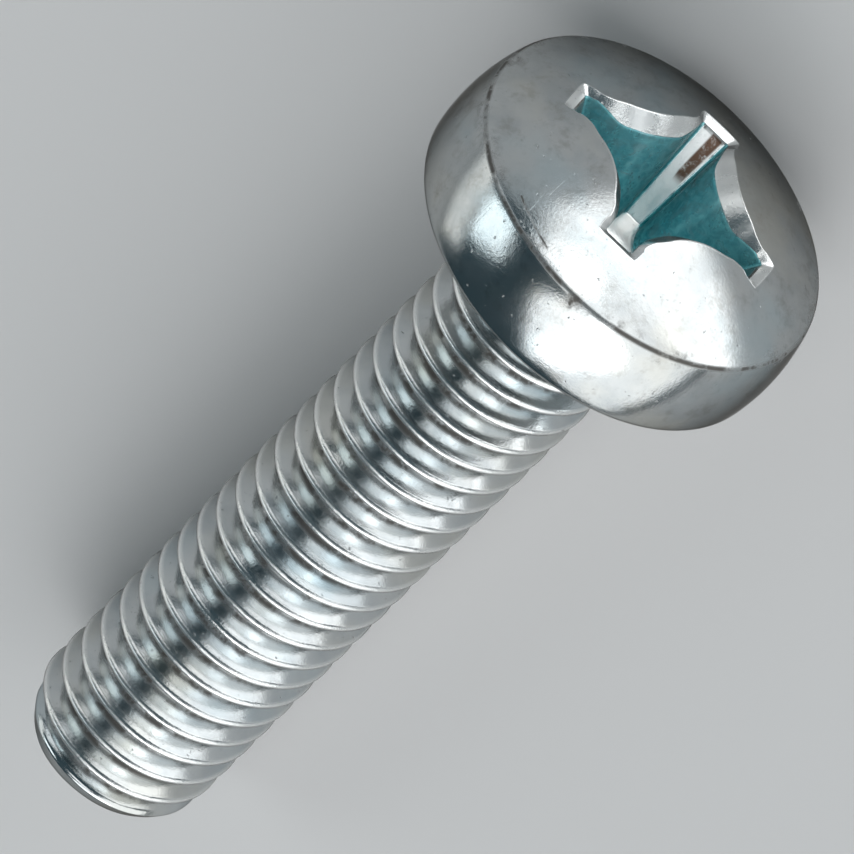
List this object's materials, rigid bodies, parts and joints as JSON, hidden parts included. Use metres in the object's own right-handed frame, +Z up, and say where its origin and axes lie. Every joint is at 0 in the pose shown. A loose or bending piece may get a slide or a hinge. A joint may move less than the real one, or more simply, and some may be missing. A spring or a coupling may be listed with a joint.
{
  "type": "machine screw",
  "caption": "Cross-recessed pan-head machine screw, fully threaded, with a chamfered tip, lying on its side.",
  "frame": {"origin": "the middle of the lying screw's box, on the plane that it rests on", "axes": "+X along the screw towards its head, +Z up; the screw's own axis rises 6.9 degrees towards the head"},
  "size_m": [0.0294, 0.0118, 0.0119],
  "materials": {
    "zinc_plated_steel": "bright zinc plating with a faint blue tint"
  },
  "bodies": {
    "root": {"machine_screw": "zinc_plated_steel"}
  },
  "joints": []
}
